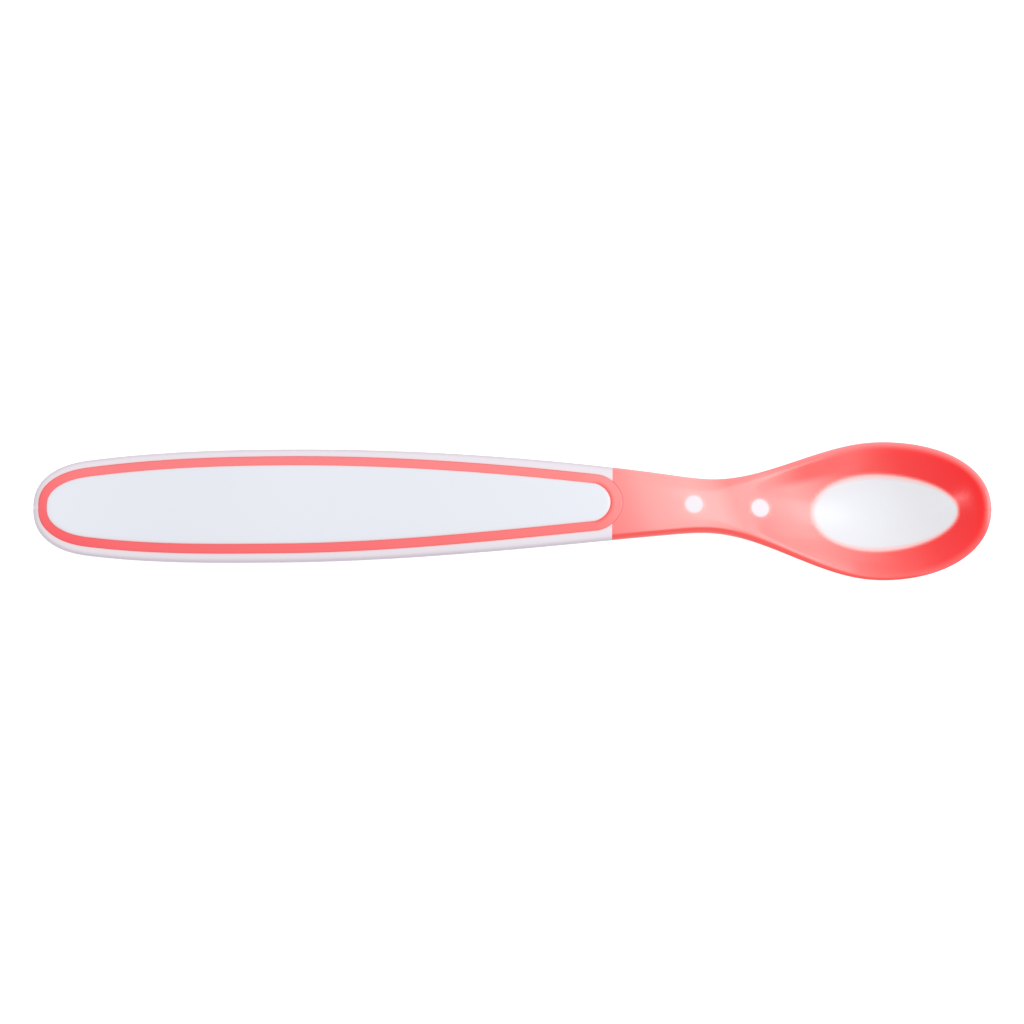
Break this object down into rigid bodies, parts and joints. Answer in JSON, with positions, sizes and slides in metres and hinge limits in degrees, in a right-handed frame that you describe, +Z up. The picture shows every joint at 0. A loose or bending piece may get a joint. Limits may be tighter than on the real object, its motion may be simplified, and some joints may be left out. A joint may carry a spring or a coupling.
{
  "type": "baby spoon",
  "caption": "Long-handled weaning spoon: rigid white core, soft coral skin over neck and bowl, soft ring let into the handle round a white panel.",
  "frame": {"origin": "centre of the spoon's length and width, on the plane that the tail and the bowl rest on", "axes": "+X along the spoon towards the tip of the bowl, +Y across it, +Z up out of the bowl"},
  "size_m": [0.16, 0.0234, 0.0155],
  "materials": {
    "white_core": "satin moulded polypropylene",
    "white_panel": "satin moulded polypropylene",
    "coral_ring": "matt thermoplastic elastomer",
    "coral_skin": "matt thermoplastic elastomer, paler where the white core lies under it"
  },
  "bodies": {
    "root": {"core": "white_core", "handle_panel": "white_panel", "grip_ring": "coral_ring", "soft_bowl": "coral_skin"}
  },
  "joints": []
}
